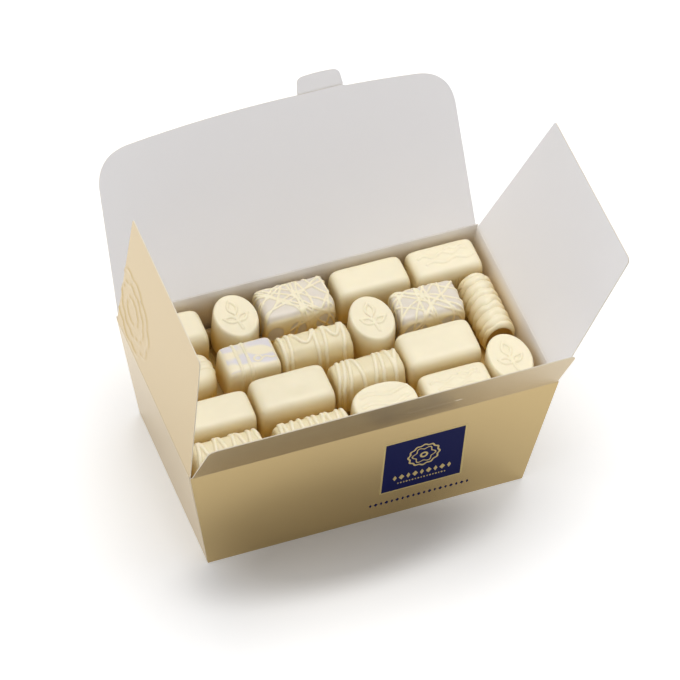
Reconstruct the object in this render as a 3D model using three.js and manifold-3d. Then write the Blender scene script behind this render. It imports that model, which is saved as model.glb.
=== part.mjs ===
// An open folding carton filled with white-chocolate pralines.
//
// Millimetres, +Z up. The origin is the centre of the carton's base, X runs along the carton's
// length and -Y is the long wall that carries the label field. The carton is shown as it stands
// on a table with its lid leaning back, one end flap upright, the other leaning out, and the
// front flap leaning forward. Every panel above the rim hangs on a crease at a wall's top edge.
import * as THREE from "three";
import { mergeVertices } from "three/addons/utils/BufferGeometryUtils.js";
import Module from "manifold-3d";

const wasm = await Module();
wasm.setup();

// Driving dimensions of the carton, taken on the middle of the board
const TOP_LENGTH = 190;
const TOP_DEPTH = 107;
const END_TAPER = 12.2; // how far each end wall comes in from rim to base
const LONG_TAPER = 3.5; // the same for the front and rear walls
const BOARD = 0.5;

// The panels shut on one another, so their creases lie a board and a little air apart
const STACK_STEP = 0.65;
const LID_CREASE = 75;
const FRONT_CREASE = LID_CREASE - STACK_STEP;
const END_CREASE = FRONT_CREASE - STACK_STEP;
const CREASE_GAP = 0.4; // from the crease line to the panel's first edge

// How the panels stand, in degrees from upright; outward is positive
const LID_LEAN = 34.5;
const LEFT_LEAN = -2;
const RIGHT_LEAN = 22;
const FRONT_LEAN = 24;

const LID_LENGTH = 87; // at the middle of its bowed free edge
const LID_BOW = 0.0007; // drop of the free edge per square millimetre of offset
const LID_CORNER = 18;
const LEFT_TRIM = 0.035; // slope of the left sides that pass the upright end flap
const SIDE_INSET = 0.6;

const TAB_CENTRE = 26.6;
const TAB_WIDTH = 24;
const TAB_CREASE = 87.2; // from the lid's crease
const TAB_LENGTH = 8.6;
const TAB_CORNER = 3.5;

const FLAP_LENGTH = 84;
const FLAP_REAR_TRIM = 10.5;
const FLAP_FRONT_TRIM = 0.3;
const FLAP_CORNER = 3;
const FLAP_SIDE_GAP = 0.85;

const FRONT_LENGTH = 43;
const FRONT_CORNER = 5;
const SLIT_FROM_CREASE = 17.6;
const SLIT_LENGTH = 27;
const SLIT_WIDTH = 1.2;

// The pralines stand on one level, above the lower layers
const PRALINE_BASE = 52.6;
const PRALINE_GAP = 0.3;

const COLOURS = { goldBoard: 0xb9a277, ivory: 0xf1e6c6, ivoryDrizzle: 0xf4ead0, lilacIvory: 0xdcd5d6 };
const board = new THREE.MeshStandardMaterial({ color: COLOURS.goldBoard, roughness: 0.38, metalness: 0.35 });
const chocolate = new THREE.MeshStandardMaterial({ color: COLOURS.ivory, roughness: 0.5, metalness: 0 });
const drizzled = new THREE.MeshStandardMaterial({ color: COLOURS.ivoryDrizzle, roughness: 0.5, metalness: 0 });
const lilac = new THREE.MeshStandardMaterial({ color: COLOURS.lilacIvory, roughness: 0.5, metalness: 0 });

const radians = THREE.MathUtils.degToRad;

// A closed geometry as a solid that can be joined and cut
function solidOf(geometry, matrix = new THREE.Matrix4()) {
  const bare = geometry.clone().applyMatrix4(matrix);
  bare.deleteAttribute("normal");
  bare.deleteAttribute("uv");
  const merged = mergeVertices(bare, 1e-4);
  return new wasm.Manifold(
    new wasm.Mesh({
      numProp: 3,
      vertProperties: new Float32Array(merged.attributes.position.array),
      triVerts: new Uint32Array(merged.index.array),
    }),
  );
}

// A solid back as a geometry with flat faces
function geometryOf(solid) {
  const mesh = solid.getMesh();
  const geometry = new THREE.BufferGeometry();
  geometry.setAttribute("position", new THREE.BufferAttribute(new Float32Array(mesh.vertProperties), 3));
  geometry.setIndex(new THREE.BufferAttribute(new Uint32Array(mesh.triVerts), 1));
  geometry.computeVertexNormals();
  return geometry;
}

function boxBetween([x0, y0, z0], [x1, y1, z1]) {
  const middle = new THREE.Matrix4().makeTranslation((x0 + x1) / 2, (y0 + y1) / 2, (z0 + z1) / 2);
  return solidOf(new THREE.BoxGeometry(x1 - x0, y1 - y0, z1 - z0), middle);
}

// A closed skin over rings with the same number of points, from the first ring to the last,
// with a fan over each end. Rings run anticlockwise seen from the last one.
function skin(rings) {
  const count = rings[0].length;
  const middle = (ring) => ring.reduce((sum, p) => sum.add(p), new THREE.Vector3()).divideScalar(count);
  const points = [...rings.flat(), middle(rings[0]), middle(rings.at(-1))];
  const first = rings.length * count;
  const index = [];
  for (let j = 0; j < count; j++) {
    const k = (j + 1) % count;
    for (let i = 0; i + 1 < rings.length; i++) {
      const a = i * count;
      const b = a + count;
      index.push(a + j, a + k, b + k, a + j, b + k, b + j);
    }
    const last = (rings.length - 1) * count;
    index.push(first, k, j, first + 1, last + j, last + k);
  }
  const geometry = new THREE.BufferGeometry().setFromPoints(points);
  geometry.setIndex(index);
  geometry.computeVertexNormals();
  return geometry;
}

// Rectangle of half sizes a, b at height z, anticlockwise from above
const rectangle = (a, b, z) => [
  new THREE.Vector3(-a, -b, z),
  new THREE.Vector3(a, -b, z),
  new THREE.Vector3(a, b, z),
  new THREE.Vector3(-a, b, z),
];

// The carton's inside or outside between two heights: half sizes grow with height from the base
function funnel(offset, low, high) {
  const ring = (z) =>
    rectangle(
      TOP_LENGTH / 2 - END_TAPER * (1 - z / END_CREASE) + offset,
      TOP_DEPTH / 2 - LONG_TAPER * (1 - z / LID_CREASE) + offset,
      z,
    );
  return solidOf(skin([ring(low), ring(high)]));
}

// A rolled crease: a rod as thick as the board along X, centred at the given place
function creaseRod(length, x, y, z, turn = 0) {
  const sides = 8;
  const rod = new THREE.CylinderGeometry(BOARD / 2, BOARD / 2, length, sides);
  const along = new THREE.Matrix4().makeRotationZ(Math.PI / 2);
  const turned = new THREE.Matrix4().makeRotationZ(turn).multiply(along);
  return solidOf(rod, new THREE.Matrix4().makeTranslation(x, y, z).multiply(turned));
}

// Floor and four leaning walls, folded from one blank, with the rims cut to their creases
function cartonGeometry() {
  const above = LID_CREASE + 10;
  const halfLength = TOP_LENGTH / 2;
  const halfDepth = TOP_DEPTH / 2;
  const reach = 5;
  let body = funnel(BOARD / 2, 0, above).subtract(funnel(-BOARD / 2, BOARD, above + 1));
  const far = halfLength + reach;
  const deep = halfDepth + reach;
  body = body.subtract(boxBetween([-far, -deep, LID_CREASE], [far, deep, above + 2]));
  body = body.subtract(boxBetween([-far, -deep, FRONT_CREASE], [far, -halfDepth + reach, above]));
  for (const side of [-1, 1]) {
    const edges = [side * (halfLength - reach), side * far].sort((p, q) => p - q);
    const within = halfDepth - BOARD;
    body = body.subtract(boxBetween([edges[0], -within, END_CREASE], [edges[1], within, above]));
    body = body.add(creaseRod(2 * within, side * halfLength, 0, END_CREASE, Math.PI / 2));
  }
  body = body.add(creaseRod(TOP_LENGTH, 0, halfDepth, LID_CREASE));
  body = body.add(creaseRod(TOP_LENGTH, 0, -halfDepth, FRONT_CREASE));
  return geometryOf(body);
}

// A flat panel of board from its outline, with its thickness centred on the outline's plane
function panel(shape, segments = 8) {
  const geometry = new THREE.ExtrudeGeometry(shape, { depth: BOARD, bevelEnabled: false, curveSegments: segments });
  return geometry.translate(0, 0, -BOARD / 2);
}

// Outline with each corner rounded by its own radius
function roundedShape(corners) {
  const shape = new THREE.Shape();
  const towards = (from, to, distance) => {
    const step = new THREE.Vector2().subVectors(to, from);
    return step.setLength(Math.min(distance, step.length() / 2)).add(from);
  };
  corners.forEach(([x, y, radius], i) => {
    const here = new THREE.Vector2(x, y);
    if (!radius) {
      if (i) shape.lineTo(x, y);
      else shape.moveTo(x, y);
      return;
    }
    const before = new THREE.Vector2(...corners.at(i - 1));
    const after = new THREE.Vector2(...corners[(i + 1) % corners.length]);
    const start = towards(here, before, radius);
    const end = towards(here, after, radius);
    if (i) shape.lineTo(start.x, start.y);
    else shape.moveTo(start.x, start.y);
    shape.quadraticCurveTo(x, y, end.x, end.y);
  });
  return shape;
}

// Height of the lid's bowed free edge at an offset from its middle
const lidEdge = (x) => LID_LENGTH - LID_BOW * x * x;

// The lid: a wide panel with large round corners and a bowed free edge. It keeps a short
// straight land, with a crease rod, where the tuck tab folds.
function lidGeometry() {
  const right = TOP_LENGTH / 2 - SIDE_INSET - 0.2;
  const leftAt = (v) => -TOP_LENGTH / 2 + SIDE_INSET + LEFT_TRIM * v;
  const leftTop = leftAt(LID_LENGTH);
  const [from, to] = [leftTop + LID_CORNER, right - LID_CORNER];
  const shape = new THREE.Shape();
  shape.moveTo(leftAt(CREASE_GAP), CREASE_GAP);
  shape.lineTo(right, CREASE_GAP);
  shape.lineTo(right, lidEdge(right) - LID_CORNER);
  shape.quadraticCurveTo(right, lidEdge(right), to, lidEdge(to));
  const meet = (from + to) / 2;
  shape.quadraticCurveTo(meet, LID_LENGTH - LID_BOW * from * to, from, lidEdge(from));
  shape.quadraticCurveTo(leftTop, lidEdge(leftTop), leftAt(LID_LENGTH - LID_CORNER), lidEdge(leftTop) - LID_CORNER);
  const half = TAB_WIDTH / 2;
  const land = boxBetween(
    [TAB_CENTRE - half, LID_LENGTH - 5, -BOARD / 2],
    [TAB_CENTRE + half, TAB_CREASE, BOARD / 2],
  );
  const rod = creaseRod(TAB_WIDTH, TAB_CENTRE, TAB_CREASE, 0);
  return geometryOf(solidOf(panel(shape, 10)).add(land).add(rod));
}

// The tuck tab: a short tongue that narrows a little to its rounded tip
function tabGeometry() {
  const half = TAB_WIDTH / 2;
  const tip = half - 1;
  return panel(
    roundedShape([
      [-half, CREASE_GAP],
      [half, CREASE_GAP],
      [tip, TAB_LENGTH, TAB_CORNER],
      [-tip, TAB_LENGTH, TAB_CORNER],
    ]),
    4,
  );
}

// An end flap: nearly a rectangle, trimmed at the rear so that it slides in beside the lid
function endFlapGeometry() {
  const rear = TOP_DEPTH / 2 - FLAP_SIDE_GAP;
  return panel(
    roundedShape([
      [-rear, CREASE_GAP],
      [rear, CREASE_GAP],
      [rear - FLAP_REAR_TRIM, FLAP_LENGTH, 1.5],
      [-rear + FLAP_FRONT_TRIM, FLAP_LENGTH, FLAP_CORNER],
    ]),
    4,
  );
}

// The front flap, with the slit that takes the tuck tab
function frontFlapGeometry() {
  const right = TOP_LENGTH / 2 - SIDE_INSET;
  const left = -TOP_LENGTH / 2 + SIDE_INSET;
  const shape = roundedShape([
    [left + LEFT_TRIM * CREASE_GAP, CREASE_GAP],
    [right, CREASE_GAP],
    [right, FRONT_LENGTH, FRONT_CORNER],
    [left + LEFT_TRIM * FRONT_LENGTH, FRONT_LENGTH, FRONT_CORNER],
  ]);
  const [x0, x1] = [TAB_CENTRE - SLIT_LENGTH / 2, TAB_CENTRE + SLIT_LENGTH / 2];
  const [y0, y1] = [SLIT_FROM_CREASE - SLIT_WIDTH / 2, SLIT_FROM_CREASE + SLIT_WIDTH / 2];
  const slit = new THREE.Path();
  slit.moveTo(x0, y0);
  slit.lineTo(x0, y1);
  slit.lineTo(x1, y1);
  slit.lineTo(x1, y0);
  slit.closePath();
  shape.holes.push(slit);
  return panel(shape, 4);
}

// A smooth ridge of height 1 across its half width, by the distance from its crest
const ridge = (distance, half) => (Math.abs(distance) < half ? Math.cos((distance / half) * (Math.PI / 2)) ** 2 : 0);

const power = (value, exponent) => Math.sign(value) * Math.abs(value) ** exponent;

// A moulded praline that is longer than it is wide: an arched section, boxy or round, carried
// along X and drawn in at both ends. Its flat side is down. relief(x, y, rise) pushes the
// skin out, rise being the height as a share of the whole. tuck is how far, in degrees, the
// section turns in under itself before its flat side, as on a roll.
function loaf({ length, width, height, square = 4.5, endSquare = 7, stations = 10, sides = 12, even = false,
  draft = 0.05, endShare = 0.5, relief = () => 0, hollow = 0, tuck = 0 }) {
  const under = radians(tuck);
  const rings = [];
  const ringAt = (x, share, lift = 0) => {
    const ring = [];
    for (let j = 0; j <= sides; j++) {
      const angle = ((Math.PI + 2 * under) * j) / sides - under;
      const rise = (power(Math.sin(angle), 2 / square) + Math.sin(under)) / (1 + Math.sin(under));
      const across = power(Math.cos(angle), 2 / square) * (1 + draft * (1 - rise) - draft);
      const y = (width / 2) * across * share;
      const z = height * rise * share;
      const core = height * 0.3;
      const out = lift ? 0 : relief(x, y, rise) / Math.hypot(y, z - core);
      const flat = j === 0 || j === sides;
      ring.push(new THREE.Vector3(x, y * (1 + out), flat ? lift : lift + z + (z - core) * out));
    }
    return ring;
  };
  for (let i = 0; i <= stations; i++) {
    const u = -1 + (2 * i) / stations;
    const along = even ? u : Math.sin((u * Math.PI) / 2);
    const share = Math.max(endShare, (1 - Math.abs(along) ** endSquare) ** (1 / endSquare));
    rings.push(ringAt((length / 2) * along, share));
  }
  if (hollow) {
    const [mouth, bottom, floor] = [0.68, 0.6, 2.6];
    rings.unshift(ringAt(-length / 2 + hollow, bottom, floor), ringAt(-length / 2, mouth, floor));
  }
  return skin(rings);
}

// A moulded praline seen as an oval from above: rings of shrinking size up to a raised rim
// round a sunk face. flutes carves upright ribs into the lower part of its side.
function medallion({ length, width, height, points = 20, outline = 2, dome = false, flutes = 0, fluteDepth = 0 }) {
  const profile = dome
    ? [[1, 0], [0.99, 0.35], [0.96, 0.62], [0.88, 0.82], [0.7, 0.95], [0.4, 1]]
    : [[1, 0], [0.99, 0.6], [0.97, 0.84], [0.93, 0.96], [0.87, 1], [0.82, 0.965]];
  const rings = profile.map(([share, rise]) => {
    const ring = [];
    for (let j = 0; j < points; j++) {
      const angle = (2 * Math.PI * j) / points;
      const rib = flutes && rise < 0.7 ? fluteDepth * (0.5 + 0.5 * Math.cos(flutes * angle)) : 0;
      const x = ((length / 2) * share - rib) * power(Math.cos(angle), 2 / outline);
      const y = ((width / 2) * share - rib) * power(Math.sin(angle), 2 / outline);
      ring.push(new THREE.Vector3(x, y, height * rise));
    }
    return ring;
  });
  return skin(rings);
}

// Threads of chocolate run across a praline, one after another along its length
const threads = (pitch, slant, height, half = 1.3) => (x, y) => {
  const along = x + slant * y;
  return height * ridge(along - pitch * Math.round(along / pitch), half);
};

// Threads crossing in two directions, as from a bag swung both ways
const lace = (pitch, height) => (x, y) =>
  Math.max(threads(pitch, 0.75, height, 1.6)(x, y), threads(pitch * 1.3, -0.9, height, 1.6)(x + 2, y));

// Upright flutes on the two long sides, which fade out at the crowned top
const fluted = (pitch, depth) => (x, y, rise) =>
  rise < 0.8 ? -depth * (0.5 - 0.5 * Math.cos((2 * Math.PI * x) / pitch)) : 0;

// A wound ridge that climbs round a roll like the groove of a rope
const wound = (pitch, height) => (x, y, rise) => {
  const along = x + (y < 0 ? rise : 2 - rise) * pitch * 0.7;
  return height * ridge(along - pitch * Math.round(along / pitch), pitch * 0.45);
};

// Kinds of praline: what one of the given size looks like
const KINDS = {
  log: (size) => loaf({ ...size, square: 5 }),
  block: (size) => loaf({ ...size, square: 7, endSquare: 9 }),
  laced: (size) => loaf({ ...size, square: 8, endSquare: 12, stations: 24, sides: 14, even: true, relief: lace(8, 0.9) }),
  striped: (size) => loaf({ ...size, square: 8, endSquare: 10, stations: 20, even: true, relief: threads(9, 0.12, 0.5, 1.4) }),
  barrel: (size) =>
    loaf({ ...size, square: 3.2, endSquare: 12, stations: 28, sides: 10, even: true, relief: threads(5.6, 0.2, 0.8, 1.6) }),
  fluted: (size) => loaf({ ...size, square: 6, endSquare: 9, stations: 26, sides: 10, even: true, relief: fluted(2.8, 0.45) }),
  roll: (size) =>
    loaf({
      ...size,
      square: 2,
      tuck: 50,
      draft: 0,
      endSquare: 20,
      endShare: 0.92,
      stations: 26,
      even: true,
      relief: wound(4.6, 0.7),
      hollow: 6,
    }),
  oval: (size) => medallion(size),
  wavy: (size) => medallion({ ...size, points: 24 }),
  dome: (size) => medallion({ ...size, dome: true, points: 32, outline: 2.5, flutes: 16, fluteDepth: 0.8 }),
};

// The pralines that show, row by row from the rear, left to right: kind, centre, footprint and height.
// An oval's footprint is its two axes. The roll lies front to back.
const PRALINES = {
  praline_r1_plain_log: { kind: "log", at: [-72.2, 39.8], length: 36, width: 24, height: 20.5 },
  praline_r1_oval: { kind: "oval", at: [-38.9, 37.4], length: 22.8, width: 29.4, height: 20.5 },
  praline_r1_laced_block: { kind: "laced", at: [-7.2, 39.8], length: 36.2, width: 23, height: 19.6 },
  praline_r1_square_log: { kind: "block", at: [33.2, 41.3], length: 38.6, width: 21.4, height: 20.5 },
  praline_r1_fluted_block: { kind: "fluted", at: [72.4, 40.5], length: 36.6, width: 23, height: 20.5 },
  praline_r2_fluted_dome: { kind: "dome", at: [-72.6, 13.4], length: 30, width: 26, height: 19.4 },
  praline_r2_striped_block: { kind: "striped", at: [-41.2, 11.7], length: 28, width: 21.4, height: 20 },
  praline_r2_drizzled_barrel: { kind: "barrel", at: [-7.4, 12], length: 37.2, width: 20.8, height: 19.6 },
  praline_r2_oval: { kind: "oval", at: [24.2, 14.8], length: 22.8, width: 30.6, height: 20.5 },
  praline_r2_laced_block: { kind: "laced", at: [54.4, 17.6], length: 33.6, width: 21.6, height: 19.6 },
  praline_r2_twisted_roll: { kind: "roll", at: [82.9, 9.2], length: 37, width: 17.4, height: 19.8, turn: 90 },
  praline_r3_plain_log: { kind: "block", at: [-69.4, -15.8], length: 39.4, width: 21.6, height: 20 },
  praline_r3_plain_block: { kind: "block", at: [-28.4, -13.8], length: 39.6, width: 24.8, height: 20.5 },
  praline_r3_drizzled_barrel: { kind: "barrel", at: [11.4, -12], length: 35.8, width: 20.4, height: 19.6 },
  praline_r3_wide_block: { kind: "block", at: [49.9, -9.6], length: 39.2, width: 25.6, height: 20.5 },
  praline_r3_oval: { kind: "oval", at: [79.5, -29.8], length: 22.8, width: 32.4, height: 20.2 },
  praline_r4_drizzled_log: { kind: "barrel", at: [-70.2, -37.5], length: 36, width: 20.2, height: 19.2 },
  praline_r4_drizzled_barrel: { kind: "barrel", at: [-26.6, -38.4], length: 38, width: 18.6, height: 19 },
  praline_r4_wavy_oval: { kind: "wavy", at: [11.6, -36.4], length: 34.2, width: 25, height: 20 },
  praline_r4_fluted_block: { kind: "fluted", at: [49.4, -36.2], length: 36.2, width: 24.2, height: 20.2 },
};

function pralineMesh(name, { kind, at, turn = 0, ...size }) {
  const finish = { laced: lilac, striped: lilac, barrel: drizzled, roll: drizzled }[kind] ?? chocolate;
  const mesh = new THREE.Mesh(KINDS[kind](size), finish);
  mesh.name = name;
  mesh.position.set(at[0], at[1], PRALINE_BASE);
  mesh.rotation.z = radians(turn);
  return mesh;
}

function named(name, geometry, material) {
  const mesh = new THREE.Mesh(geometry, material);
  mesh.name = name;
  return mesh;
}

// A crease: its group sits on the fold line with X along it, and the panel in it stands in the
// plane of X and Y, leaning outward by the given angle from upright.
function crease(place, turn, lean, ...members) {
  const hinge = new THREE.Group();
  hinge.rotation.x = radians(90 + lean);
  hinge.add(...members);
  const line = new THREE.Group();
  line.position.set(...place);
  line.rotation.z = radians(turn);
  line.add(hinge);
  return line;
}

// The layers under the pralines that show, which fill the carton up to where those stand
function lowerLayersGeometry() {
  return geometryOf(funnel(-BOARD / 2 - PRALINE_GAP, BOARD + PRALINE_GAP, PRALINE_BASE - PRALINE_GAP));
}

const tab = named("tuck_tab", tabGeometry(), board);
tab.position.set(TAB_CENTRE, TAB_CREASE, 0);

const box = new THREE.Group();
box.add(
  named("carton", cartonGeometry(), board),
  named("lower_layers", lowerLayersGeometry(), chocolate),
  crease([0, TOP_DEPTH / 2, LID_CREASE], 0, -LID_LEAN, named("lid_panel", lidGeometry(), board), tab),
  crease([0, -TOP_DEPTH / 2, FRONT_CREASE], 0, FRONT_LEAN, named("front_flap", frontFlapGeometry(), board)),
  crease([-TOP_LENGTH / 2, 0, END_CREASE], 90, -LEFT_LEAN, named("left_flap", endFlapGeometry(), board)),
  crease([TOP_LENGTH / 2, 0, END_CREASE], 90, RIGHT_LEAN, named("right_flap", endFlapGeometry(), board)),
  ...Object.entries(PRALINES).map(([name, praline]) => pralineMesh(name, praline)),
);

export default box;
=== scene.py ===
"""An open folding carton of white-chocolate pralines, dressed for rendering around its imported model."""

import bmesh
import bpy
import numpy as np
from mathutils import Matrix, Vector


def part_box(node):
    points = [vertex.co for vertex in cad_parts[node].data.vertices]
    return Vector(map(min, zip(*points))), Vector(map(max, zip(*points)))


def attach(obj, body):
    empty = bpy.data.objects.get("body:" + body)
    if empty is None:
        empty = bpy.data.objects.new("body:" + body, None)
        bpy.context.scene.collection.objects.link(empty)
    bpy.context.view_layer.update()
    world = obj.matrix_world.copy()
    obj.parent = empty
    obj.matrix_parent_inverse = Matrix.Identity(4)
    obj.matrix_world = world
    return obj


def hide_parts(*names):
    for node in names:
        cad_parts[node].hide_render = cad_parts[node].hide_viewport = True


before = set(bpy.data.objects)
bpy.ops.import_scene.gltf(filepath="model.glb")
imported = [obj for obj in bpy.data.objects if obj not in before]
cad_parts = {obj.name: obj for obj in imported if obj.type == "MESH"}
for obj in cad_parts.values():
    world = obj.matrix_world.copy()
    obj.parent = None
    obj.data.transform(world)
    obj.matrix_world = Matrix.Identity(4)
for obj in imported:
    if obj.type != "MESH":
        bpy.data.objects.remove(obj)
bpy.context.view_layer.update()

# The camera stands in front of the carton, a little to its left, and looks down on it from well
# above, as a product photographer does. It is far away, so the carton's sides stay nearly parallel.
MM = 0.001
AZIMUTH, ELEVATION, ROLL = -23.82, 49.71, 4.03
DISTANCE = 2.74
AIM_RIGHT, AIM_UP = 0.00486, 0.05248
LENS, SENSOR = 290.9, 36.0


def looking(azimuth, elevation, roll=0.0):
    """Right, up and back directions of a camera at an azimuth and elevation, rolled about its own axis."""
    a, e, r = np.radians([azimuth, elevation, roll])
    back = np.array([np.sin(a) * np.cos(e), -np.cos(a) * np.cos(e), np.sin(e)])
    right = np.array([np.cos(a), np.sin(a), 0.0])
    up = np.cross(back, right)
    return right * np.cos(r) + up * np.sin(r), up * np.cos(r) - right * np.sin(r), back


def standing(axes, place):
    """The matrix of a camera or a lamp from its right, up and back directions and its place."""
    return Matrix([[*row, p] for row, p in zip(np.stack(axes, 1), place)] + [[0, 0, 0, 1]])


view = looking(AZIMUTH, ELEVATION, ROLL)
camera = bpy.data.objects.new("camera", bpy.data.cameras.new("camera"))
camera.matrix_world = standing(view, view[0] * AIM_RIGHT + view[1] * AIM_UP + view[2] * DISTANCE)
camera.data.lens = LENS
camera.data.sensor_width = SENSOR
camera.data.clip_end = 20
bpy.context.scene.collection.objects.link(camera)
bpy.context.scene.camera = camera
bpy.context.scene.view_settings.view_transform = "Standard"

# The studio: a white table that runs far past the picture and glows evenly, but for an oval in front of the
# carton where its glow fades out: a painted shadow, which the gold front wall reflects darkly near its foot;
# a large soft box overhead at the rear right, a weaker one at the left.
FLOOR_REACH = 6.0
FLOOR_WHITE, WALL_WHITE = "#FBFBFB", "#F4F4F6"
FLOOR_GLOW, WALL_LIGHT = 0.33, 0.4
LAMP_AIM = 0.06
# The painted shadow on the floor: the centre and radii of its oval, the share of them where the glow starts
# to rise, and the share where it is full.
SHADOW_PATCH_AT, SHADOW_PATCH_REACH, SHADOW_PATCH_RIM, GLOW_RIM = (-15 * MM, -62 * MM), (80 * MM, 27 * MM), 0.5, 1.25


def linear(colour):
    """An sRGB hex colour as linear red, green, blue and 1."""
    values = np.array([int(colour[i:i + 2], 16) for i in (1, 3, 5)]) / 255
    values = np.where(values <= 0.04045, values / 12.92, ((values + 0.055) / 1.055) ** 2.4)
    return (*values.tolist(), 1.0)


def node(tree, kind, settings=None, **inputs):
    """Adds a node. settings are its own properties; each input is a value, or a socket that feeds it, and
    goes by the socket's name with _ for a space, or by i and its number."""
    made = tree.nodes.new("ShaderNode" + kind)
    for key, value in (settings or {}).items():
        setattr(made, key, value)
    for key, value in inputs.items():
        socket = made.inputs[int(key[1:]) if key[0] == "i" and key[1:].isdigit() else key.replace("_", " ")]
        if isinstance(value, bpy.types.NodeSocket):
            tree.links.new(value, socket)
        else:
            socket.default_value = value
    return made


def material(name, roughness, **values):
    """A new material, its node tree and its Principled shader, with the shader's constant values set."""
    made = bpy.data.materials.new(name)
    made.use_nodes = True
    shader = made.node_tree.nodes["Principled BSDF"]
    shader.inputs["Roughness"].default_value = roughness
    for key, value in values.items():
        shader.inputs[key.replace("_", " ")].default_value = value
    return made, made.node_tree, shader


floor = bpy.data.objects.new("floor", bpy.data.meshes.new("floor"))
corners = [(x * FLOOR_REACH, y * FLOOR_REACH, 0) for x, y in ((-1, -1), (1, -1), (1, 1), (-1, 1))]
floor.data.from_pydata(corners, [], [(0, 1, 2, 3)])
table, tree, shader = material("white_table_glowing_but_for_a_painted_shadow", 0.9, Base_Color=linear(FLOOR_WHITE),
                               Emission_Color=linear(FLOOR_WHITE))
# painted shadow: the glow is nothing inside an oval in front of the carton and rises to full round it
place = node(tree, "TexCoord").outputs["Object"]
spread = node(tree, "Mapping", {"vector_type": "TEXTURE"}, Vector=place, Location=(*SHADOW_PATCH_AT, 0),
              Scale=(*SHADOW_PATCH_REACH, 1)).outputs[0]
away = node(tree, "VectorMath", {"operation": "LENGTH"}, i0=spread).outputs["Value"]
glow = node(tree, "MapRange", {"interpolation_type": "SMOOTHSTEP"}, Value=away, From_Min=SHADOW_PATCH_RIM,
            From_Max=GLOW_RIM, To_Max=FLOOR_GLOW).outputs[0]
tree.links.new(glow, shader.inputs["Emission Strength"])
floor.data.materials.append(table)
bpy.context.scene.collection.objects.link(floor)


def soft_box(name, azimuth, elevation, distance, size, power, colour):
    """A square area light aimed at the carton from an azimuth, elevation and distance."""
    lamp = bpy.data.lights.new(name, "AREA")
    lamp.shape = "SQUARE"
    lamp.size = size
    lamp.energy = power
    lamp.color = linear(colour)[:3]
    made = bpy.data.objects.new(name, lamp)
    axes = looking(azimuth, elevation)
    made.matrix_world = standing(axes, axes[2] * distance + np.array([0, 0, LAMP_AIM]))
    bpy.context.scene.collection.objects.link(made)


soft_box("overhead_soft_box", azimuth=145, elevation=74, distance=1.6, size=1.1, power=16.5, colour="#FFFFFF")
soft_box("left_soft_box", azimuth=-92, elevation=35, distance=2.0, size=1.5, power=7.0, colour="#FFFFFF")
world = bpy.data.worlds.new("pale_studio")
world.use_nodes = True
world.node_tree.nodes["Background"].inputs["Color"].default_value = linear(WALL_WHITE)
world.node_tree.nodes["Background"].inputs["Strength"].default_value = WALL_LIGHT
bpy.context.scene.world = world

# The carton's board: solid bleached board about half a millimetre thick, bare white inside, with a
# satin gold foil print outside. Where it is cut, its pale pulp shows.
BOARD = 0.5
# The warm liner colour is painted shade, which the inner board takes on low inside the tray, below the
# heights two lines down.
GOLD, WHITE_LINER, LINER_PAINTED_SHADE, PULP = "#C2A974", "#F4F2F2", "#E4D2B2", "#DFD5C1"
FIBRE, TOOTH = 1.2 * MM, 0.6 * MM
LINER_SHADE_LOW, LINER_SHADE_HIGH = 62 * MM, 76 * MM
SHARP_FOLD = np.radians(40)


def surface_bump(tree, shader, scale, detail, strength, depth, stretch=(1, 1, 1)):
    """Roughens a shader's surface with noise of a given size in metres, stretched along an axis."""
    place = node(tree, "TexCoord").outputs["Object"]
    laid = node(tree, "Mapping", Vector=place, Scale=stretch).outputs[0]
    noise = node(tree, "TexNoise", Vector=laid, Scale=1 / scale, Detail=detail)
    bump = node(tree, "Bump", Height=noise.outputs[0], Strength=strength, Distance=depth)
    tree.links.new(bump.outputs[0], shader.inputs["Normal"])


def foil_board():
    """Gold foil on board under a clear satin varnish, with waves of the board's fibres along the carton."""
    made, tree, shader = material("satin_gold_foil_board", 0.27, Base_Color=linear(GOLD), Metallic=0.85,
                                  Coat_Weight=0.3, Coat_Roughness=0.25)
    surface_bump(tree, shader, FIBRE, detail=3.0, strength=0.12, depth=0.02 * MM, stretch=(0.35, 1, 1))
    return made


def liner_board():
    """The board's uncoated inner face: matt white, with a fibre tooth drawn at 0.6 mm so that it shows. Low
    inside the tray it turns a warm beige, fading to white between 62 and 76 mm up: painted shade, warmed as
    by the light the pralines throw on it."""
    made, tree, shader = material("white_inner_board_with_painted_shade", 0.75)
    place = node(tree, "TexCoord").outputs["Object"]
    height = node(tree, "SeparateXYZ", Vector=place).outputs["Z"]
    # painted shade: warm beige low in the tray, white near the rim
    unshaded = node(tree, "MapRange", Value=height, From_Min=LINER_SHADE_LOW, From_Max=LINER_SHADE_HIGH).outputs[0]
    colour = node(tree, "Mix", {"data_type": "RGBA"}, Factor=unshaded, i6=linear(LINER_PAINTED_SHADE),
                  i7=linear(WHITE_LINER))
    tree.links.new(colour.outputs[2], shader.inputs["Base Color"])
    surface_bump(tree, shader, TOOTH, detail=4.0, strength=0.1, depth=0.02 * MM)
    return made


foil, liner = foil_board(), liner_board()
pulp = material("cut_edge_of_board", 0.95, Base_Color=linear(PULP))[0]


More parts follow.
